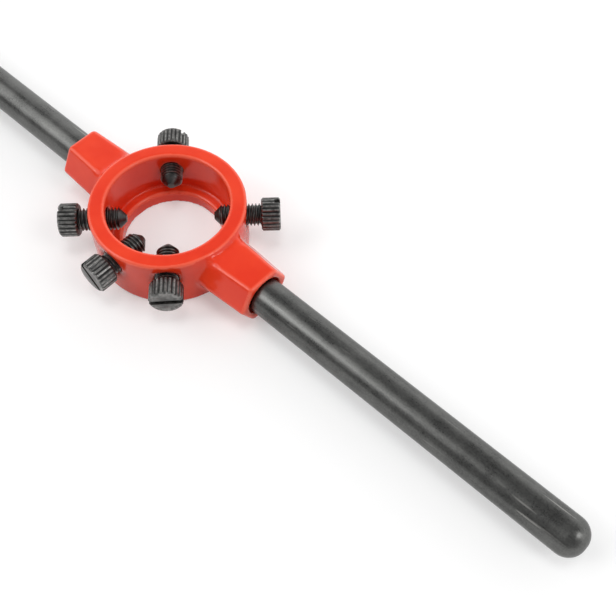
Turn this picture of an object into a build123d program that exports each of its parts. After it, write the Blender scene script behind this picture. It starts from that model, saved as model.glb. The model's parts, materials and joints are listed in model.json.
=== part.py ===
from build123d import *
import os
from math import cos, radians, sin, sqrt, tan

# Die stock for round threading dies, in millimetres.
# The origin is the middle of the ring's underside. Z is the ring's axis and X runs along the handles.

# Round die that the ring takes
die_diameter = 38.0
die_thickness = 14.0
die_fit = 0.1  # radial clearance between the die and the bore

# Ring
ring_wall = 5.2  # wall around the die
ledge_height = 4.5  # floor under the die's seat
ledge_width = 3.5  # how far the floor reaches in under the die
ring_edge_rounding = 0.9
rim_standoff = 0.01  # how far the rim's cutter stands off the ring's faces, so that it cuts them cleanly
bore_rim_rounding = 0.8
ledge_rim_rounding = 1.0
seat_corner_rounding = 0.5

# Six sided lugs that carry the handles, cast with the ring and tapered in width
lug_reach = 41.0  # from the ring's axis to a lug's end face
lug_step_land = 0.5  # from the end of the ring's rounded edge down to a lug's flat
lug_end_flat = 10.2  # width of those flats at the end face
lug_end_width = 18.9  # between the side corners at the end face
lug_flare = 1.0  # how much each side stands wider at the ring's outer wall
lug_edge_rounding = 1.4
lug_end_rounding = 1.0
lug_root_rounding = 1.0
lug_root_depth = 4.2  # how far a lug's root starts inside the ring's outer wall

# Handles
handle_diameter = 11.6
handle_reach = 153.5  # from the ring's axis to a handle's tip
handle_tip_rounding = 5.3
handle_neck_diameter = 11.0  # turned on a handle where it stands in its lug's mouth
handle_neck_cover = 0.1  # how far inside the mouth the full diameter starts
handle_shoulder_chamfer = 0.4
stud_diameter = 8.0  # threaded stud turned on a handle's inner end
stud_length = 10.0
stud_chamfer = 0.8
stud_fit = 0.05  # radial clearance of the stud in its tapped hole
stud_end_room = 1.0  # free depth past the stud's end
mouth_depth = 3.0  # counterbore that takes the handle's full diameter
mouth_gap = 0.6  # radial gap around the handle in the lug's mouth
mouth_chamfer = 0.3

# Clamping screws
screw_diameter = 7.0
screw_fit = 0.05  # radial clearance of a screw in its tapped hole
tapped_rim = 0.5  # how much wider a tapped hole is at its rim, on the radius
tapped_rim_angle = 90.0
screw_full_reach = 9.4  # how far a point stands inside the bore wall once its head meets the ring
point_angle = 90.0
point_flat_diameter = 2.2
head_diameter = 10.3
head_length = 5.9
head_chamfer = 0.5
knurl_count = 24
knurl_depth = 0.42
slot_width = 1.6
slot_depth = 1.8

# How close two lengths are to count as the same when edges are picked
same_length = 0.01
# How far an edge may lean from the handles, in degrees, to count as one of a lug's long edges
long_edge_angle = 25.0

# How far each screw's point stands inside the bore wall at rest
spreading_reach = 8.0
closing_right_reach = 7.9
closing_left_reach = 5.9
holding_right_reach = 5.2
holding_left_reach = 6.5

# Each screw's place around the ring in degrees, its point's reach, and its slot's turn from level
screws = {
    "spreading_screw": (-90.0, spreading_reach, -48.0),
    "closing_screw_right": (-45.0, closing_right_reach, 3.0),
    "closing_screw_left": (-135.0, closing_left_reach, 95.0),
    "holding_screw_right": (45.0, holding_right_reach, 77.0),
    "holding_screw_left": (135.0, holding_left_reach, 135.0),
}

# Sizes that follow from the ones above
bore_radius = die_diameter / 2 + die_fit
ring_radius = bore_radius + ring_wall
opening_radius = bore_radius - ledge_width
ring_height = ledge_height + die_thickness
handle_radius = handle_diameter / 2
neck_radius = handle_neck_diameter / 2
stud_radius = stud_diameter / 2
mouth_radius = handle_radius + mouth_gap
handle_axis_height = ring_height / 2
lug_step = ring_edge_rounding + lug_step_land  # from the ring's faces to a lug's flats
lug_height = ring_height - 2 * lug_step
lug_slope = lug_flare / (lug_reach - ring_radius)
lug_depth = lug_reach - ring_radius + lug_root_depth
lug_outline = (
    (lug_end_width / 2, 0),
    (lug_end_flat / 2, lug_height / 2),
    (-lug_end_flat / 2, lug_height / 2),
    (-lug_end_width / 2, 0),
    (-lug_end_flat / 2, -lug_height / 2),
    (lug_end_flat / 2, -lug_height / 2),
)
shoulder_reach = lug_reach - mouth_depth
neck_end = lug_reach - handle_neck_cover
neck_step = handle_radius - neck_radius
screw_axis_height = ledge_height + die_thickness / 2
rim_radius = ring_radius + rim_standoff
rim_cut_room = 2 * lug_root_rounding  # how far the rim's cutter reaches past the ring
screw_radius = screw_diameter / 2
thread_length = ring_wall + screw_full_reach
tapped_depth = ring_wall + screw_radius  # past the wall, so that the hole opens fully into the bore
point_flat_radius = point_flat_diameter / 2
point_length = (screw_radius - point_flat_radius) / tan(radians(point_angle / 2))
head_radius = head_diameter / 2
knurl_cut_side = knurl_depth * sqrt(2)
slot_cut_length = head_diameter + slot_width

os.makedirs("parts", exist_ok=True)


def lug_plane(side, reach):
    """Plane across a lug at a distance from the ring's axis, facing outwards."""
    return Plane(origin=(side * reach, 0, handle_axis_height), x_dir=(0, side, 0), z_dir=(side, 0, 0))


def outward(angle):
    """Level direction from the ring's axis towards a screw."""
    return Vector(cos(radians(angle)), sin(radians(angle)), 0)


def screw_plane(angle, reach):
    """Plane across a screw at a distance from the ring's axis, facing outwards, with Z up."""
    origin = outward(angle) * reach + Vector(0, 0, screw_axis_height)
    return Plane(origin=origin, x_dir=outward(angle + 90), z_dir=outward(angle))


# Body: the ring and both lugs are one casting
with BuildPart() as die_holder_body:
    with BuildSketch(Plane.YZ):
        Rectangle(ring_radius, ring_height, align=(Align.MIN, Align.MIN))
    revolve(axis=Axis.Z)

    # Each lug is its end outline swept inwards twice, leaning to one side and then to the other
    for side in (1, -1):
        for lean in (lug_slope, -lug_slope):
            with BuildSketch(lug_plane(side, lug_reach)):
                with BuildLine():
                    Polyline(*lug_outline, close=True)
                make_face()
            extrude(amount=lug_depth, dir=(-side, lean, 0))
    straight_edges = die_holder_body.edges().filter_by(GeomType.LINE)
    lug_corners = straight_edges.filter_by(lambda edge: abs((edge % 0.5).X) > cos(radians(long_edge_angle)))
    fillet(lug_corners, radius=lug_edge_rounding)
    for side in (1, -1):
        end_face = die_holder_body.faces().sort_by(Axis.X)[-1 if side > 0 else 0]
        fillet(end_face.edges(), radius=lug_end_rounding)
    lug_roots = die_holder_body.edges().filter_by(
        lambda edge: abs((edge @ 0.5).X) > ring_radius / 2
        and abs(Vector((edge @ 0.5).X, (edge @ 0.5).Y, 0).length - ring_radius) < same_length
        and ring_edge_rounding < (edge @ 0.5).Z < ring_height - ring_edge_rounding)
    fillet(lug_roots, radius=lug_root_rounding)

    # Rounded outer rims, turned after the roots because a root runs up beside them
    with BuildSketch(Plane.YZ):
        for face, up in ((ring_height, 1), (0, -1)):
            height = face + up * rim_standoff
            with BuildLine():
                Polyline(
                    (rim_radius - ring_edge_rounding, height),
                    (rim_radius - ring_edge_rounding, height + up * rim_cut_room),
                    (rim_radius + rim_cut_room, height + up * rim_cut_room),
                    (rim_radius + rim_cut_room, height - up * ring_edge_rounding),
                    (rim_radius, height - up * ring_edge_rounding),
                )
                RadiusArc(
                    (rim_radius, height - up * ring_edge_rounding),
                    (rim_radius - ring_edge_rounding, height),
                    -up * ring_edge_rounding,
                )
            make_face()
    revolve(axis=Axis.Z, mode=Mode.SUBTRACT)

    # Seat for the die, and the opening under it
    with BuildSketch(Plane.XY.offset(ring_height)):
        Circle(bore_radius)
    extrude(amount=-die_thickness, mode=Mode.SUBTRACT)
    with BuildSketch(Plane.XY):
        Circle(opening_radius)
    extrude(amount=ledge_height, mode=Mode.SUBTRACT)
    circles = die_holder_body.edges().filter_by(GeomType.CIRCLE).sort_by(Axis.Z)
    bore_circles = circles.filter_by(lambda edge: abs(edge.radius - bore_radius) < same_length)
    opening_circles = circles.filter_by(lambda edge: abs(edge.radius - opening_radius) < same_length)
    fillet(bore_circles[-1], radius=bore_rim_rounding)
    fillet(bore_circles[0], radius=seat_corner_rounding)
    fillet(opening_circles[-1], radius=ledge_rim_rounding)

    # Tapped holes for the screws, widened at the outer rim
    for angle, reach, turn in screws.values():
        with Locations(screw_plane(angle, ring_radius)):
            CounterSinkHole(
                radius=screw_radius + screw_fit,
                counter_sink_radius=screw_radius + screw_fit + tapped_rim,
                depth=tapped_depth,
                counter_sink_angle=tapped_rim_angle,
            )

    # Sockets for the handles: a mouth for the full rod, and a tapped hole for its stud
    for side in (1, -1):
        with Locations(lug_plane(side, lug_reach)):
            CounterBoreHole(
                radius=stud_radius + stud_fit,
                counter_bore_radius=mouth_radius,
                counter_bore_depth=mouth_depth,
                depth=mouth_depth + stud_length + stud_end_room,
            )
    mouth_edges = die_holder_body.edges().filter_by(GeomType.CIRCLE).filter_by(
        lambda edge: abs(edge.radius - mouth_radius) < same_length
        and abs(abs(edge.center().X) - lug_reach) < same_length)
    chamfer(mouth_edges, length=mouth_chamfer)
die_holder_body.part.label = "die_holder_body"
export_step(die_holder_body.part, "parts/die_holder_body.step")


# Handles: turned rods with a rounded tip, each screwed into its lug by a stud
def make_handle(name, side):
    """One handle, seated on the floor of its lug's mouth."""
    section_plane = Plane(origin=(0, 0, handle_axis_height), x_dir=(side, 0, 0), z_dir=(0, -side, 0))
    with BuildPart() as handle:
        with BuildSketch(section_plane):
            with BuildLine():
                Polyline(
                    (handle_reach, 0),
                    (shoulder_reach - stud_length, 0),
                    (shoulder_reach - stud_length, stud_radius - stud_chamfer),
                    (shoulder_reach - stud_length + stud_chamfer, stud_radius),
                    (shoulder_reach, stud_radius),
                    (shoulder_reach, neck_radius - handle_shoulder_chamfer),
                    (shoulder_reach + handle_shoulder_chamfer, neck_radius),
                    (neck_end - neck_step, neck_radius),
                    (neck_end, handle_radius),
                    (handle_reach - handle_tip_rounding, handle_radius),
                )
                RadiusArc(
                    (handle_reach - handle_tip_rounding, handle_radius),
                    (handle_reach, handle_radius - handle_tip_rounding),
                    handle_tip_rounding,
                )
                Line((handle_reach, handle_radius - handle_tip_rounding), (handle_reach, 0))
            make_face()
        revolve(axis=Axis((0, 0, handle_axis_height), (1, 0, 0)))
    handle.part.label = name
    export_step(handle.part, f"parts/{name}.step")


make_handle("handle_right", 1)
make_handle("handle_left", -1)


# Screws: turned in one piece, with a knurled and slotted head, a plain shank and a cone point
def make_screw(name, angle, reach, turn):
    """One screw, with its point the given distance inside the bore wall."""
    point_reach = bore_radius - reach
    head_seat = point_reach + thread_length
    head_end = head_seat + head_length
    section_plane = Plane(origin=(0, 0, screw_axis_height), x_dir=outward(angle), z_dir=outward(angle - 90))
    with BuildPart() as screw:
        with BuildSketch(section_plane):
            with BuildLine():
                Polyline(
                    (point_reach, 0),
                    (point_reach, point_flat_radius),
                    (point_reach + point_length, screw_radius),
                    (head_seat, screw_radius),
                    (head_seat, head_radius - head_chamfer),
                    (head_seat + head_chamfer, head_radius),
                    (head_end - head_chamfer, head_radius),
                    (head_end, head_radius - head_chamfer),
                    (head_end, 0),
                    close=True,
                )
            make_face()
        revolve(axis=Axis((0, 0, screw_axis_height), outward(angle)))
        with BuildSketch(screw_plane(angle, head_seat)):
            with PolarLocations(head_radius, knurl_count):
                Rectangle(knurl_cut_side, knurl_cut_side, rotation=45)
        extrude(amount=head_length, mode=Mode.SUBTRACT)
        with BuildSketch(screw_plane(angle, head_end)):
            Rectangle(slot_cut_length, slot_width, rotation=turn)
        extrude(amount=-slot_depth, mode=Mode.SUBTRACT)
    screw.part.label = name
    export_step(screw.part, f"parts/{name}.step")


for screw_name, (angle, reach, turn) in screws.items():
    make_screw(screw_name, angle, reach, turn)
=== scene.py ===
"""The look of a hand stock for round threading dies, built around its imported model.

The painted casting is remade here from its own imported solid, with the soft corners and roots of a sand casting. The
clamping screws are remade with their real threads, and stand in for the plain ones. The steel handles are the
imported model's own solids with a finish on them.
"""
import json
import logging
from dataclasses import dataclass, field
from enum import Enum
from math import ceil, cos, hypot, pi, radians, sin, tan
from typing import Sequence

import bmesh
import bpy
from mathutils import Matrix, Vector
from mathutils.kdtree import KDTree


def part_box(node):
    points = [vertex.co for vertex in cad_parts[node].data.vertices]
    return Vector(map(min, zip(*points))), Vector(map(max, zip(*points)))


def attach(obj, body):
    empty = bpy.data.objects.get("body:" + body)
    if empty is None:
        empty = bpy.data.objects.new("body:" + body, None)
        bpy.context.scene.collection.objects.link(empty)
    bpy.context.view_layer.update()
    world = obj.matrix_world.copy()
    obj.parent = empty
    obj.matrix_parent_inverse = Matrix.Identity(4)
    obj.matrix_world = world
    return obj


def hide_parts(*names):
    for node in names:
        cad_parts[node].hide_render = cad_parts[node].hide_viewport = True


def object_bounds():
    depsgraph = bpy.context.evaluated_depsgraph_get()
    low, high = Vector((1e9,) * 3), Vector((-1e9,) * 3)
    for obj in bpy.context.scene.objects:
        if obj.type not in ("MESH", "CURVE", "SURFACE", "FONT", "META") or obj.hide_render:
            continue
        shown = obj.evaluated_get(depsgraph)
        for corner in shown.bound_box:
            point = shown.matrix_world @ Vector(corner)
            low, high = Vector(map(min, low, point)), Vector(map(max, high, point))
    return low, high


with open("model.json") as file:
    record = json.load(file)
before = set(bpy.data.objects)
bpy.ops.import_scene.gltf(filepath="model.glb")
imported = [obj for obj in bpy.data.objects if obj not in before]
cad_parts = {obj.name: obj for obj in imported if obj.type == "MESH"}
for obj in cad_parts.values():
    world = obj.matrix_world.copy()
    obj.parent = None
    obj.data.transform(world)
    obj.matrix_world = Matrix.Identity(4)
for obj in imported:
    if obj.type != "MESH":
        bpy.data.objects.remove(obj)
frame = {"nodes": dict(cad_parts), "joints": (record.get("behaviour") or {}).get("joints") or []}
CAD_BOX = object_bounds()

log = logging.getLogger("die_stock")

MM = 0.001
PHOTO_SIDE = 616


class Slot(Enum):
    """The record's material slots."""

    PAINT = "red_paint"
    HANDLE = "handle_oxide"
    SCREW = "screw_oxide"


class Screw(Enum):
    """The clamping screws: node name, and how far each one's slot is turned from level, in degrees."""

    SPREADING = ("spreading_screw", -48.0)
    CLOSING_RIGHT = ("closing_screw_right", 3.0)
    CLOSING_LEFT = ("closing_screw_left", 95.0)
    HOLDING_RIGHT = ("holding_screw_right", 77.0)
    HOLDING_LEFT = ("holding_screw_left", 135.0)

    @property
    def node(self) -> str:
        """Name of the screw's node, and of its body."""
        return self.value[0]

    @property
    def slot_turn(self) -> float:
        """Turn of the slot in degrees."""
        return self.value[1]


class NodeDesk:
    """Adds nodes to one tree and joins them."""

    def __init__(self, tree: bpy.types.NodeTree) -> None:
        """Starts with an empty tree.

        Args:
            tree: The material's or the world's node tree.
        """
        self.tree = tree
        self.tree.nodes.clear()

    def add(self, kind: str, **settings: object) -> bpy.types.Node:
        """Adds a node.

        Args:
            kind: Blender's name for the node type.
            settings: Values for the node's own properties.

        Returns:
            The new node.
        """
        node = self.tree.nodes.new(kind)
        for name, value in settings.items():
            setattr(node, name, value)
        return node

    def join(self, source: bpy.types.NodeSocket, target: bpy.types.NodeSocket) -> None:
        """Joins an output to an input."""
        self.tree.links.new(source, target)

    def feed(self, target: bpy.types.NodeSocket, value: object) -> None:
        """Gives an input a value or another node's output."""
        if isinstance(value, bpy.types.NodeSocket):
            self.join(value, target)
        else:
            target.default_value = value

    def place(self, stretch: Sequence[float] = (1, 1, 1), turn: Sequence[float] = (0, 0, 0)) -> bpy.types.NodeSocket:
        """Object coordinates, stretched and turned.

        Args:
            stretch: How much finer the pattern gets along each axis.
            turn: Turn about each axis in degrees.

        Returns:
            The coordinates.
        """
        where = self.add("ShaderNodeTexCoord").outputs["Object"]
        mapping = self.add("ShaderNodeMapping")
        mapping.inputs["Scale"].default_value = stretch
        mapping.inputs["Rotation"].default_value = [radians(a) for a in turn]
        self.join(where, mapping.inputs["Vector"])
        return mapping.outputs["Vector"]

    def noise(self, where: bpy.types.NodeSocket, per_metre: float, detail: float = 2.0,
              rough: float = 0.5) -> bpy.types.NodeSocket:
        """A soft random pattern.

        Args:
            where: Coordinates.
            per_metre: How many blobs fit in a metre.
            detail: How many finer layers are added.
            rough: How strong the finer layers are.

        Returns:
            The pattern, about 0.3 to 0.7.
        """
        node = self.add("ShaderNodeTexNoise")
        self.join(where, node.inputs["Vector"])
        node.inputs["Scale"].default_value = per_metre
        node.inputs["Detail"].default_value = detail
        node.inputs["Roughness"].default_value = rough
        return node.outputs["Fac"]

    def remap(self, value: bpy.types.NodeSocket, from_low: float, from_high: float, to_low: float = 0.0,
              to_high: float = 1.0, smooth: bool = False) -> bpy.types.NodeSocket:
        """Moves a value from one range to another, and holds it inside.

        Args:
            value: The value.
            from_low: Where the range starts now.
            from_high: Where the range ends now.
            to_low: Where it will start.
            to_high: Where it will end.
            smooth: Whether the change eases in and out.

        Returns:
            The moved value.
        """
        node = self.add("ShaderNodeMapRange", interpolation_type="SMOOTHSTEP" if smooth else "LINEAR")
        node.clamp = True
        self.join(value, node.inputs["Value"])
        node.inputs["From Min"].default_value = from_low
        node.inputs["From Max"].default_value = from_high
        node.inputs["To Min"].default_value = to_low
        node.inputs["To Max"].default_value = to_high
        return node.outputs["Result"]

    def sum(self, kind: str, a: object, b: object) -> bpy.types.NodeSocket:
        """Joins two numbers by a sum such as ADD, MULTIPLY or MAXIMUM."""
        node = self.add("ShaderNodeMath", operation=kind)
        self.feed(node.inputs[0], a)
        self.feed(node.inputs[1], b)
        return node.outputs[0]

    def mix(self, share: object, low: object, high: object) -> bpy.types.NodeSocket:
        """Mixes two colours.

        Args:
            share: How much of the second colour.
            low: First colour.
            high: Second colour.

        Returns:
            The mixed colour.
        """
        node = self.add("ShaderNodeMix", data_type="RGBA")
        self.feed(node.inputs[0], share)
        self.feed(node.inputs[6], low)
        self.feed(node.inputs[7], high)
        return node.outputs[2]

    def bump(self, height: bpy.types.NodeSocket, distance: float,
             normal: bpy.types.NodeSocket | None = None) -> bpy.types.NodeSocket:
        """Turns a height pattern into surface relief.

        Args:
            height: The pattern.
            distance: Relief in metres for a height of 1.
            normal: Relief to add this one to.

        Returns:
            The changed normal.
        """
        node = self.add("ShaderNodeBump")
        node.inputs["Distance"].default_value = distance
        self.join(height, node.inputs["Height"])
        if normal is not None:
            self.join(normal, node.inputs["Normal"])
        return node.outputs["Normal"]


def grey(level: float) -> tuple[float, float, float, float]:
    """A neutral colour of a given lightness."""
    return (level, level, level, 1.0)


@dataclass(frozen=True)
class Finish:
    """What every finish shares: its name and a shader to fill in."""

    name: str

    def material(self) -> bpy.types.Material:
        """The finish as a Blender material, made once.

        Returns:
            The material.
        """
        made = bpy.data.materials.get(self.name)
        if made:
            return made
        made = bpy.data.materials.new(self.name)
        made.use_nodes = True
        desk = NodeDesk(made.node_tree)
        shader = desk.add("ShaderNodeBsdfPrincipled")
        output = desk.add("ShaderNodeOutputMaterial")
        desk.join(shader.outputs["BSDF"], output.inputs["Surface"])
        self.fill(desk, shader.inputs)
        return made

    def fill(self, desk: NodeDesk, inputs: bpy.types.NodeInputs) -> None:
        """Sets the shader's inputs."""
        raise NotImplementedError


@dataclass(frozen=True)
class Enamel(Finish):
    """Thick glossy paint over a sand casting, with a painted highlight on its corners."""

    light: tuple[float, float, float, float] = (0.83, 0.050, 0.014, 1.0)
    deep: tuple[float, float, float, float] = (0.76, 0.034, 0.009, 1.0)
    patch_per_metre: float = 70.0
    patch_range: tuple[float, float] = (0.35, 0.65)
    peel_per_metre: float = 1100.0
    peel_relief: float = 0.010 * MM
    casting_per_metre: float = 300.0
    casting_relief: float = 0.07 * MM
    gloss: tuple[float, float] = (0.12, 0.20)
    gloss_range: tuple[float, float] = (0.3, 0.7)
    # Painted highlight: a paler red for the convex corners, standing in for the light that their rounded edges catch.
    corner: tuple[float, float, float, float] = (0.92, 0.13, 0.07, 1.0)
    corner_highlight_name: str = "corner"
    refraction: float = 1.43

    def fill(self, desk: NodeDesk, inputs: bpy.types.NodeInputs) -> None:
        """Sets the shader's inputs."""
        where = desk.place()
        patches = desk.noise(where, self.patch_per_metre, detail=3)
        paint = desk.mix(desk.remap(patches, *self.patch_range), self.deep, self.light)
        # The corner attribute mixes in the paler red, a painted highlight on the convex corners.
        corner = desk.add("ShaderNodeAttribute", attribute_name=self.corner_highlight_name).outputs["Fac"]
        desk.join(desk.mix(corner, paint, self.corner), inputs["Base Color"])
        spots = desk.noise(where, self.peel_per_metre / 4, detail=3)
        desk.join(desk.remap(spots, *self.gloss_range, *self.gloss), inputs["Roughness"])
        casting = desk.bump(desk.noise(where, self.casting_per_metre, detail=2), self.casting_relief)
        peel = desk.bump(desk.noise(where, self.peel_per_metre, detail=2), self.peel_relief, normal=casting)
        desk.join(peel, inputs["Normal"])
        inputs["IOR"].default_value = self.refraction


@dataclass(frozen=True)
class OxidedRod(Finish):
    """Drawn steel rod, blackened and lightly oiled, with handling marks."""

    dark: tuple[float, float, float, float] = (0.080, 0.081, 0.079, 1.0)
    pale: tuple[float, float, float, float] = (0.158, 0.159, 0.153, 1.0)
    edge: tuple[float, float, float, float] = (0.86, 0.86, 0.86, 1.0)
    bare: tuple[float, float, float, float] = (0.46, 0.45, 0.43, 1.0)
    streak: tuple[float, float, float] = (0.05, 1.0, 1.0)
    streak_per_metre: float = 1100.0
    cloud_per_metre: float = 110.0
    grain_per_metre: float = 1900.0
    cloud_share: float = 0.45
    grain_share: float = 0.35
    drawn_share: float = 0.20
    patch_range: tuple[float, float] = (0.38, 0.62)
    roughness: tuple[float, float] = (0.25, 0.38)
    drawn_relief: float = 0.008 * MM
    grain_relief: float = 0.010 * MM
    scratch_turns: tuple[float, ...] = (16.0, -34.0, 71.0)
    scratch_per_metre: float = 800.0
    scratch_stretch: float = 0.06
    scratch_level: float = 0.70
    scratch_edge: float = 0.05
    marked_per_metre: float = 60.0
    marked_range: tuple[float, float] = (0.46, 0.60)
    scratch_share: float = 0.45

    def fill(self, desk: NodeDesk, inputs: bpy.types.NodeInputs) -> None:
        """Sets the shader's inputs."""
        drawn = desk.noise(desk.place(stretch=self.streak), self.streak_per_metre, detail=4, rough=0.6)
        cloud = desk.noise(desk.place(), self.cloud_per_metre, detail=5, rough=0.65)
        grain = desk.noise(desk.place(), self.grain_per_metre, detail=3, rough=0.6)
        patch = desk.sum("ADD", desk.sum("MULTIPLY", cloud, self.cloud_share),
                         desk.sum("MULTIPLY", grain, self.grain_share))
        patch = desk.sum("ADD", patch, desk.sum("MULTIPLY", drawn, self.drawn_share))
        tone = desk.mix(desk.remap(patch, *self.patch_range), self.dark, self.pale)
        desk.join(desk.mix(self.scratches(desk), tone, self.bare), inputs["Base Color"])
        desk.join(desk.remap(patch, *self.patch_range, *self.roughness), inputs["Roughness"])
        lines = desk.bump(drawn, self.drawn_relief)
        desk.join(desk.bump(grain, self.grain_relief, normal=lines), inputs["Normal"])
        inputs["Specular Tint"].default_value = self.edge
        inputs["Metallic"].default_value = 1.0

    def scratches(self, desk: NodeDesk) -> bpy.types.NodeSocket:
        """Fine pale scratches in a few directions.

        Args:
            desk: Where the nodes go.

        Returns:
            How bare the steel is, 0 to 1.
        """
        total: object = 0.0
        for turn in self.scratch_turns:
            where = desk.place(stretch=(self.scratch_stretch, 1.0, 1.0), turn=(turn / 3, 0, turn))
            lines = desk.noise(where, self.scratch_per_metre, detail=1)
            marks = desk.remap(lines, self.scratch_level, self.scratch_level + self.scratch_edge)
            total = desk.sum("MAXIMUM", marks, total)
        patch = desk.remap(desk.noise(desk.place(), self.marked_per_metre, detail=1), *self.marked_range)
        return desk.sum("MULTIPLY", desk.sum("MULTIPLY", total, patch), self.scratch_share)


@dataclass(frozen=True)
class OxidedScrew(Finish):
    """Turned steel, blackened, with the oxide rubbed thin on its crests and corners."""

    dark: tuple[float, float, float, float] = (0.060, 0.060, 0.060, 1.0)
    pale: tuple[float, float, float, float] = (0.110, 0.110, 0.107, 1.0)
    rubbed: tuple[float, float, float, float] = (0.30, 0.295, 0.285, 1.0)
    worn_name: str = "worn"
    cloud_per_metre: float = 500.0
    cloud_range: tuple[float, float] = (0.35, 0.65)
    rub_per_metre: float = 900.0
    rub_range: tuple[float, float] = (0.38, 0.62)
    rub: tuple[float, float] = (0.25, 1.0)
    grain_per_metre: float = 3000.0
    grain_relief: float = 0.004 * MM
    roughness: tuple[float, float] = (0.32, 0.46)
    roughness_range: tuple[float, float] = (0.3, 0.7)

    def fill(self, desk: NodeDesk, inputs: bpy.types.NodeInputs) -> None:
        """Sets the shader's inputs."""
        where = desk.place()
        cloud = desk.noise(where, self.cloud_per_metre, detail=3)
        tone = desk.mix(desk.remap(cloud, *self.cloud_range), self.dark, self.pale)
        worn = desk.add("ShaderNodeAttribute", attribute_name=self.worn_name).outputs["Fac"]
        patchy = desk.remap(desk.noise(where, self.rub_per_metre, detail=3), *self.rub_range, *self.rub)
        desk.join(desk.mix(desk.sum("MULTIPLY", worn, patchy), tone, self.rubbed), inputs["Base Color"])
        desk.join(desk.remap(cloud, *self.roughness_range, *self.roughness), inputs["Roughness"])
        grain = desk.noise(where, self.grain_per_metre, detail=2)
        desk.join(desk.bump(grain, self.grain_relief), inputs["Normal"])
        inputs["Metallic"].default_value = 1.0


ENAMEL = Enamel("red_enamel")
ROD_OXIDE = OxidedRod("rod_black_oxide")
SCREW_OXIDE = OxidedScrew("screw_black_oxide")


def dress_node(name: str, finish: Finish) -> None:
    """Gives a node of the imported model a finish.

    Args:
        name: The node.
        finish: Its finish.
    """
    node = frame["nodes"][name]
    for slot in node.material_slots:
        slot.material = finish.material()
    log.info("%s: dressed in %s", name, finish.name)


def add_piece(name: str, mesh: bpy.types.Mesh, body: str, finish: Finish,
              replaced: Sequence[str] = ()) -> bpy.types.Object:
    """Puts a finished mesh into the scene as a piece of the object.

    Args:
        name: The piece's name.
        mesh: Its mesh, already in place.
        body: The body that it moves with.
        finish: Its finish.
        replaced: Nodes that it stands for.

    Returns:
        The piece.
    """
    piece = bpy.data.objects.new(name, mesh)
    bpy.context.scene.collection.objects.link(piece)
    mesh.materials.clear()
    mesh.materials.append(finish.material())
    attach(piece, body)
    if replaced:
        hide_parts(*replaced)
    log.info("%s: %d faces", name, len(mesh.polygons))
    return piece


def solid_of(name: str, bm: bmesh.types.BMesh) -> bpy.types.Object:
    """Makes a loose object of a bmesh, for joining and cutting.

    Args:
        name: Name of the object.
        bm: The mesh, which is freed.

    Returns:
        The object.
    """
    mesh = bpy.data.meshes.new(name)
    bm.to_mesh(mesh)
    bm.free()
    made = bpy.data.objects.new(name, mesh)
    bpy.context.scene.collection.objects.link(made)
    return made


def in_fixed_order(mesh: bpy.types.Mesh) -> bpy.types.Mesh:
    """Orders a cut mesh, because a cut leaves its vertices and faces in another order on each run.

    Args:
        mesh: The mesh, which is removed.

    Returns:
        The same shape, in an order that only the places of its vertices decide.
    """
    found = bmesh.new()
    found.from_mesh(mesh)
    places = sorted(found.verts, key=lambda vertex: tuple(vertex.co))
    rank = {vertex.index: number for number, vertex in enumerate(places)}
    ordered = bmesh.new()
    points = [ordered.verts.new(vertex.co) for vertex in places]
    rings = []
    for face in found.faces:
        ring = [rank[vertex.index] for vertex in face.verts]
        first = ring.index(min(ring))
        rings.append(ring[first:] + ring[:first])
    for ring in sorted(rings):
        ordered.faces.new([points[index] for index in ring])
    name = mesh.name
    bpy.data.meshes.remove(mesh)
    fixed = bpy.data.meshes.new(name)
    ordered.to_mesh(fixed)
    found.free()
    ordered.free()
    return fixed


def carve(base: bpy.types.Object, other: bpy.types.Object, operation: str) -> bpy.types.Object:
    """Joins or cuts two loose solids, and removes the ones it started from.

    Args:
        base: The solid that is worked on.
        other: The solid that is added or taken away.
        operation: UNION or DIFFERENCE.

    Returns:
        The new loose solid.
    """
    change = base.modifiers.new("change", "BOOLEAN")
    change.operation = operation
    change.solver = "EXACT"
    change.object = other
    graph = bpy.context.evaluated_depsgraph_get()
    mesh = in_fixed_order(bpy.data.meshes.new_from_object(base.evaluated_get(graph)))
    name = base.name
    for old in (base, other):
        bpy.data.objects.remove(old)
    made = bpy.data.objects.new(name, mesh)
    bpy.context.scene.collection.objects.link(made)
    return made


def spun(profile: Sequence[tuple[float, float]], steps: int) -> bmesh.types.BMesh:
    """Turns a profile once around the Z axis into a closed solid.

    Args:
        profile: Points (radius, height), from one end of the axis to the other.
        steps: How many segments go round.

    Returns:
        The solid.
    """
    bm = bmesh.new()
    points = [bm.verts.new((radius, 0, height)) for radius, height in profile]
    edges = [bm.edges.new(pair) for pair in zip(points, points[1:])]
    bmesh.ops.spin(bm, geom=points + edges, cent=(0, 0, 0), axis=(0, 0, 1), dvec=(0, 0, 0), angle=2 * pi,
                   steps=steps, use_merge=True)
    bmesh.ops.remove_doubles(bm, verts=bm.verts[:], dist=0.0001 * MM)
    bmesh.ops.recalc_face_normals(bm, faces=bm.faces[:])
    return bm


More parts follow.
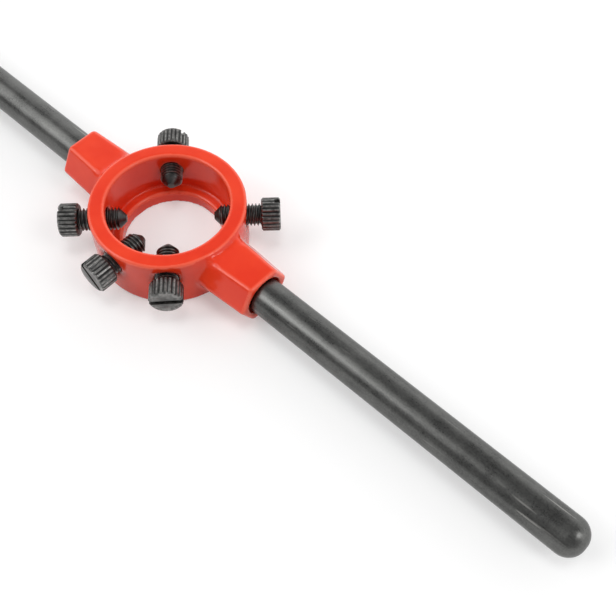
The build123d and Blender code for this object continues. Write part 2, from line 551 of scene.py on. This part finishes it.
@dataclass
class ScrewBlank:
    """One clamping screw along the Z axis, from its point at 0 to the outer face of its head."""

    length: float
    thread_radius: float = 3.5 * MM
    pitch: float = 1.08 * MM
    thread_depth: float = 0.68 * MM
    thread_steps: int = 48
    root_rise: float = 0.04 * MM
    point_flat: float = 1.1 * MM
    point_angle: float = 90.0
    head_radius: float = 5.15 * MM
    head_length: float = 5.9 * MM
    head_chamfer: float = 0.5 * MM
    rib_count: int = 24
    rib_depth: float = 0.42 * MM
    steps_per_rib: int = 6
    slot_width: float = 1.6 * MM
    slot_depth: float = 1.8 * MM
    overlap: float = 0.4 * MM
    worn_band: float = 0.12 * MM
    worn_rim: float = 0.75 * MM
    sharp_angle: float = 32.0

    @property
    def seat(self) -> float:
        """Height of the head's inner face."""
        return self.length - self.head_length

    def thread_profile(self) -> list[tuple[float, float]]:
        """One pitch of the thread as (radius, height), with its narrow crest and wider root.

        Returns:
            The points, from crest to crest.
        """
        crest, root = self.thread_radius, self.thread_radius - self.thread_depth
        p = self.pitch
        return [(crest, 0), (crest, p / 8), (root + self.root_rise, p * 0.40), (root, p * 0.5),
                (root, p * 0.625), (root + self.root_rise, p * 0.725), (crest, p)]

    def thread(self) -> bmesh.types.BMesh:
        """The threaded shank with its cone point.

        Returns:
            A closed solid that ends just inside the head.
        """
        bm = bmesh.new()
        top = self.seat + self.overlap
        turns = ceil(top / self.pitch) + 4
        start = -2 * self.pitch
        points = [bm.verts.new((radius, 0, start + height)) for radius, height in self.thread_profile()]
        edges = [bm.edges.new(pair) for pair in zip(points, points[1:])]
        rise = Vector((0, 0, self.pitch / self.thread_steps))
        bmesh.ops.spin(bm, geom=points + edges, cent=(0, 0, 0), axis=(0, 0, 1), dvec=rise, angle=2 * pi * turns,
                       steps=self.thread_steps * turns, use_merge=False)
        bmesh.ops.remove_doubles(bm, verts=bm.verts[:], dist=0.002 * MM)
        for height, facing in ((0.0, -1), (top, 1)):
            whole = bm.verts[:] + bm.edges[:] + bm.faces[:]
            bmesh.ops.bisect_plane(bm, geom=whole, dist=0.0001 * MM, plane_co=(0, 0, height),
                                   plane_no=(0, 0, facing), clear_outer=True)
        rims = [edge for edge in bm.edges if edge.is_boundary]
        bmesh.ops.holes_fill(bm, edges=rims, sides=0)
        slope = tan(radians(self.point_angle / 2))
        for vertex in bm.verts:
            allowed = self.point_flat + max(vertex.co.z, 0.0) * slope
            radius = hypot(vertex.co.x, vertex.co.y)
            if radius > allowed:
                vertex.co.x *= allowed / radius
                vertex.co.y *= allowed / radius
        bmesh.ops.recalc_face_normals(bm, faces=bm.faces[:])
        return bm

    def head(self) -> bmesh.types.BMesh:
        """The knurled head, still without its slot.

        Returns:
            A closed solid.
        """
        inner, valley = self.head_radius - self.head_chamfer, self.head_radius - self.rib_depth
        rise = valley - inner
        seat, end = self.seat, self.length
        bm = spun([(0, seat), (inner, seat), (valley, seat + rise), (self.head_radius, seat + self.head_chamfer),
                   (self.head_radius, end - self.head_chamfer), (valley, end - rise), (inner, end), (0, end)],
                  steps=self.rib_count * self.steps_per_rib)
        pitch_angle = 2 * pi / self.rib_count
        half_groove = self.rib_depth / self.head_radius
        for vertex in bm.verts:
            radius = hypot(vertex.co.x, vertex.co.y)
            if radius <= valley:
                continue
            angle = Vector((vertex.co.x, vertex.co.y)).angle_signed(Vector((1, 0)))
            from_groove = abs((angle + pitch_angle / 2) % pitch_angle - pitch_angle / 2)
            groove = self.head_radius - self.rib_depth * max(0.0, 1 - from_groove / half_groove)
            if radius > groove:
                vertex.co.x *= groove / radius
                vertex.co.y *= groove / radius
        return bm

    def slot_cutter(self) -> bmesh.types.BMesh:
        """The block that the slot is cut with."""
        bm = bmesh.new()
        bmesh.ops.create_cube(bm, size=1.0)
        bmesh.ops.scale(bm, vec=(4 * self.head_radius, self.slot_width, 2 * self.slot_depth), verts=bm.verts[:])
        bmesh.ops.translate(bm, vec=(0, 0, self.length), verts=bm.verts[:])
        return bm

    def mesh(self) -> bpy.types.Mesh:
        """The whole screw.

        Returns:
            Its mesh along the Z axis.
        """
        whole = carve(solid_of("head", self.head()), solid_of("thread", self.thread()), "UNION")
        whole = carve(whole, solid_of("slot", self.slot_cutter()), "DIFFERENCE")
        mesh = whole.data
        bpy.data.objects.remove(whole)
        return mesh

    def mark_wear(self, mesh: bpy.types.Mesh) -> None:
        """Notes where the oxide is rubbed: on thread crests, rib crests and the head's corners.

        Args:
            mesh: The screw along the Z axis.
        """
        worn = mesh.attributes.new(SCREW_OXIDE.worn_name, "FLOAT", "POINT")
        for vertex, mark in zip(mesh.vertices, worn.data):
            radius, height = hypot(vertex.co.x, vertex.co.y), vertex.co.z
            if height > self.seat - self.worn_band:
                near = self.head_radius - radius
                mark.value = 1.0 if near < self.worn_band else 0.0
                if height > self.length - self.worn_band and near < self.worn_rim:
                    mark.value = 1.0
            else:
                near = self.thread_radius - radius
                mark.value = 1.0 if near < self.worn_band else 0.0


def extent(name: str, axis: Vector) -> tuple[float, float]:
    """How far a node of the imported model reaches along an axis.

    Args:
        name: The node.
        axis: A unit vector.

    Returns:
        Its lowest and highest reach.
    """
    reaches = [vertex.co.dot(axis) for vertex in frame["nodes"][name].data.vertices]
    return min(reaches), max(reaches)


def joint_axis(body: str) -> Vector:
    """Direction in which a body's joint moves it."""
    for joint in frame["joints"]:
        if joint["child"] == body:
            return Vector(joint["axis"]).normalized()
    raise ValueError(f"{body} has no joint")


@dataclass
class ClampingScrews:
    """The five screws around the ring."""

    finish: Finish = SCREW_OXIDE

    def build(self) -> None:
        """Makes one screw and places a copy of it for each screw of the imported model."""
        first = Screw.SPREADING.node
        point, end = extent(first, joint_axis(first))
        blank = ScrewBlank(length=end - point)
        mesh = blank.mesh()
        blank.mark_wear(mesh)
        for screw in Screw:
            copy = mesh.copy()
            copy.name = screw.node
            copy.transform(self.placing(screw))
            copy.update()
            copy.shade_smooth()
            copy.set_sharp_from_angle(angle=radians(blank.sharp_angle))
            add_piece(f"{screw.node}_threaded", copy, screw.node, self.finish, (screw.node,))
        bpy.data.meshes.remove(mesh)

    def placing(self, screw: Screw) -> Matrix:
        """Where a screw stands.

        Args:
            screw: Which one.

        Returns:
            The move from the Z axis to its place, with its slot turned as it is at rest.
        """
        outwards = joint_axis(screw.node)
        low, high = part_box(screw.node)
        height = (low.z + high.z) / 2
        point = extent(screw.node, outwards)[0]
        up = Vector((0, 0, 1))
        level = up.cross(outwards)
        turn = Matrix.Rotation(radians(screw.slot_turn), 4, "Z")
        axes = Matrix((level, up, outwards)).transposed().to_4x4()
        place = Matrix.Translation(outwards * point + Vector((0, 0, height)))
        return place @ axes @ turn


@dataclass
class Casting:
    """The painted ring with its two lugs, with the soft corners that a sand casting has."""

    node: str = "die_holder_body"
    body: str = "stock"
    finish: Finish = ENAMEL
    merge_distance: float = 0.002 * MM
    grain: float = 0.4 * MM
    ring_radius: float = 24.3 * MM
    middle_height: float = 9.25 * MM
    root_band: float = 1.3 * MM
    root_turn: float = 12.0
    root_height: float = 7.5 * MM
    rim_height: float = 8.9 * MM
    root_reaches: tuple[float, ...] = (3.4 * MM, 2.6 * MM, 1.8 * MM)
    root_passes: int = 40
    soft_passes: int = 3
    step: float = 0.5
    # How sharply a corner turns before it gets the painted highlight, and how strong the painted highlight is.
    corner_highlight_turn: tuple[float, float] = (6.0, 15.0)
    corner_highlight_share: float = 0.8

    def build(self) -> None:
        """Remakes the casting with soft corners, and paints it, with a painted highlight on its corners."""
        bm = self.even_skin()
        for reach in self.root_reaches:
            self.smooth(bm, self.near_roots(bm, reach), self.root_passes)
        self.smooth(bm, bm.verts[:], self.soft_passes)
        # Painted highlight: the convex corners get a paler red, for the light that their rounded edges catch.
        corners = self.corners(bm)
        mesh = bpy.data.meshes.new("casting")
        bm.to_mesh(mesh)
        bm.free()
        mesh.shade_smooth()
        mesh.attributes.new(ENAMEL.corner_highlight_name, "FLOAT", "POINT").data.foreach_set("value", corners)
        add_piece("casting", mesh, self.body, self.finish, (self.node,))

    def even_skin(self) -> bmesh.types.BMesh:
        """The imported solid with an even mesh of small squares.

        Returns:
            The solid.
        """
        bm = bmesh.new()
        bm.from_mesh(frame["nodes"][self.node].data)
        bmesh.ops.remove_doubles(bm, verts=bm.verts[:], dist=self.merge_distance)
        bmesh.ops.recalc_face_normals(bm, faces=bm.faces[:])
        solid = solid_of("solid", bm)
        skin = solid.modifiers.new("skin", "REMESH")
        skin.mode = "VOXEL"
        skin.voxel_size = self.grain
        graph = bpy.context.evaluated_depsgraph_get()
        mesh = bpy.data.meshes.new_from_object(solid.evaluated_get(graph))
        even = bmesh.new()
        even.from_mesh(mesh)
        bpy.data.objects.remove(solid)
        bpy.data.meshes.remove(mesh)
        return even

    def near_roots(self, bm: bmesh.types.BMesh, reach: float) -> list[bmesh.types.BMVert]:
        """The skin around the lines where the lugs' sides meet the ring.

        Args:
            bm: The casting.
            reach: How far around those lines.

        Returns:
            The vertices.
        """
        turn = -radians(self.root_turn)
        roots = []
        for edge in bm.edges:
            middle = (edge.verts[0].co + edge.verts[1].co) / 2
            if (abs(hypot(middle.x, middle.y) - self.ring_radius) < self.root_band
                    and abs(middle.z - self.middle_height) < self.root_height
                    and edge.calc_face_angle_signed(0.0) < turn):
                roots.append(middle)
        tree = KDTree(len(roots))
        for index, middle in enumerate(roots):
            tree.insert(middle, index)
        tree.balance()
        inner = self.ring_radius - self.root_band
        return [vertex for vertex in bm.verts
                if hypot(vertex.co.x, vertex.co.y) > inner
                and abs(vertex.co.z - self.middle_height) < self.rim_height
                and roots and tree.find(vertex.co)[2] < reach]

    def corners(self, bm: bmesh.types.BMesh) -> list[float]:
        """Painted highlight on the casting's convex corners: how much of the paler red each vertex gets.

        Args:
            bm: The casting.

        Returns:
            A value from 0 to 1 for each vertex.
        """
        low, high = (radians(turn) for turn in self.corner_highlight_turn)
        values = []
        for vertex in bm.verts:
            turn = max(edge.calc_face_angle_signed(0.0) for edge in vertex.link_edges)
            values.append(self.corner_highlight_share * min(max((turn - low) / (high - low), 0.0), 1.0))
        return values

    def smooth(self, bm: bmesh.types.BMesh, verts: Sequence[bmesh.types.BMVert], passes: int) -> None:
        """Evens out part of the skin.

        Args:
            bm: The casting.
            verts: The part.
            passes: How many times.
        """
        for _ in range(passes):
            bmesh.ops.smooth_vert(bm, verts=verts, factor=self.step, use_axis_x=True, use_axis_y=True,
                                  use_axis_z=True)


@dataclass
class Handles:
    """The two steel rods."""

    nodes: tuple[str, ...] = ("handle_right", "handle_left")
    finish: Finish = ROD_OXIDE

    def build(self) -> None:
        """Gives both rods their finish."""
        for node in self.nodes:
            dress_node(node, self.finish)


@dataclass
class Softbox:
    """A large soft light, so far off that it lights the whole floor evenly."""

    name: str
    azimuth: float
    elevation: float
    width: float
    brightness: float
    mirrored: bool = True

    def build(self) -> None:
        """Hangs the light and points it at the object."""
        light = bpy.data.lights.new(self.name, "SUN")
        light.angle = radians(self.width)
        light.energy = self.brightness * pi * tan(light.angle / 2) ** 2
        lamp = bpy.data.objects.new(self.name, light)
        a, e = radians(self.azimuth), radians(self.elevation)
        towards = Vector((cos(e) * cos(a), cos(e) * sin(a), sin(e)))
        lamp.location = towards
        lamp.rotation_euler = towards.to_track_quat("Z", "Y").to_euler()
        lamp.visible_glossy = self.mirrored
        bpy.context.scene.collection.objects.link(lamp)


@dataclass
class Studio:
    """Floor, surroundings, lights and camera."""

    floor_side: float = 20.0
    floor_colour: float = 0.70
    floor_lift: float = 0.30
    room: float = 0.36
    sweep: float = 1.00
    sweep_heights: tuple[float, float] = (0.35, 0.9)
    sweep_depths: tuple[float, float] = (-0.35, 0.5)
    azimuth: float = 41.62
    elevation: float = 57.42
    roll: float = 0.99
    distance: float = 0.29308
    focal_pixels: float = 912.0
    origin_pixel: tuple[float, float] = (174.0, 239.3)
    sensor: float = 36.0
    nearest: float = 0.01
    softboxes: list[Softbox] = field(default_factory=lambda: [
        Softbox("softbox_wide", azimuth=-145, elevation=44, width=50, brightness=1.25),
        Softbox("softbox_key", azimuth=-128, elevation=44, width=19, brightness=3.5),
        Softbox("softbox_right", azimuth=15, elevation=46, width=22, brightness=4.0),
        Softbox("overhead", azimuth=0, elevation=88, width=22, brightness=4.9, mirrored=False),
    ])

    def build(self) -> None:
        """Sets everything up."""
        self.floor()
        self.world()
        for softbox in self.softboxes:
            softbox.build()
        self.camera()
        bpy.context.scene.view_settings.view_transform = "Standard"

    def floor(self) -> None:
        """A plain white floor that keeps the object's shadow."""
        bm = bmesh.new()
        bmesh.ops.create_grid(bm, x_segments=1, y_segments=1, size=self.floor_side / 2)
        plane = solid_of("floor", bm)
        lowest = CAD_BOX[0][2]
        plane.data.transform(Matrix.Translation((0, 0, lowest)))
        paint = bpy.data.materials.new("floor_white")
        paint.use_nodes = True
        desk = NodeDesk(paint.node_tree)
        matt = desk.add("ShaderNodeBsdfDiffuse")
        matt.inputs["Color"].default_value = grey(self.floor_colour)
        glow = desk.add("ShaderNodeEmission")
        glow.inputs["Color"].default_value = grey(1.0)
        path = desk.add("ShaderNodeLightPath")
        seen = desk.sum("MAXIMUM", path.outputs["Is Camera Ray"], path.outputs["Is Glossy Ray"])
        seen = desk.sum("MAXIMUM", seen, path.outputs["Is Transmission Ray"])
        desk.join(desk.sum("MULTIPLY", seen, self.floor_lift), glow.inputs["Strength"])
        both = desk.add("ShaderNodeAddShader")
        desk.join(matt.outputs[0], both.inputs[0])
        desk.join(glow.outputs[0], both.inputs[1])
        desk.join(both.outputs[0], desk.add("ShaderNodeOutputMaterial").inputs["Surface"])
        plane.data.materials.append(paint)

    def world(self) -> None:
        """A white sweep behind the table, and a dimmer room above and in front of it."""
        world = bpy.data.worlds.new("studio")
        bpy.context.scene.world = world
        world.use_nodes = True
        desk = NodeDesk(world.node_tree)
        towards = desk.add("ShaderNodeTexCoord").outputs["Generated"]
        axes = desk.add("ShaderNodeSeparateXYZ")
        desk.join(towards, axes.inputs[0])
        low = desk.remap(axes.outputs["Z"], *self.sweep_heights, 1.0, 0.0, smooth=True)
        back = desk.remap(axes.outputs["Y"], *self.sweep_depths, 0.0, 1.0, smooth=True)
        sweep = desk.sum("MULTIPLY", low, back)
        light = desk.sum("ADD", desk.sum("MULTIPLY", sweep, self.sweep), self.room)
        path = desk.add("ShaderNodeLightPath")
        mirrored = desk.sum("MAXIMUM", path.outputs["Is Glossy Ray"], path.outputs["Is Transmission Ray"])
        backdrop = desk.sum("MULTIPLY", sweep, mirrored)
        seen = desk.sum("MAXIMUM", path.outputs["Is Camera Ray"], backdrop)
        strength = desk.sum("MAXIMUM", light, seen)
        surround = desk.add("ShaderNodeBackground")
        surround.inputs["Color"].default_value = grey(1.0)
        desk.join(strength, surround.inputs["Strength"])
        desk.join(surround.outputs[0], desk.add("ShaderNodeOutputWorld").inputs["Surface"])

    def camera(self) -> None:
        """The camera, where the photograph was taken from."""
        az, el, roll = radians(self.azimuth), radians(self.elevation), radians(self.roll)
        back = Vector((cos(el) * sin(az), -cos(el) * cos(az), sin(el)))
        level = Vector((cos(az), sin(az), 0))
        upright = back.cross(level)
        right = level * cos(roll) + upright * sin(roll)
        up = upright * cos(roll) - level * sin(roll)
        across = (self.origin_pixel[0] - PHOTO_SIDE / 2) * self.distance / self.focal_pixels
        down = (self.origin_pixel[1] - PHOTO_SIDE / 2) * self.distance / self.focal_pixels
        place = back * self.distance - right * across + up * down
        data = bpy.data.cameras.new("camera")
        data.sensor_width = self.sensor
        data.lens = self.focal_pixels / PHOTO_SIDE * self.sensor
        data.clip_start = self.nearest
        camera = bpy.data.objects.new("camera", data)
        camera.matrix_world = Matrix.Translation(place) @ Matrix((right, up, back)).transposed().to_4x4()
        bpy.context.scene.collection.objects.link(camera)
        bpy.context.scene.camera = camera


def main() -> None:
    """Builds the object and its studio."""
    logging.basicConfig(level=logging.INFO, format="%(message)s")
    Studio().build()
    Casting().build()
    Handles().build()
    ClampingScrews().build()


if __name__ == "__main__":
    main()
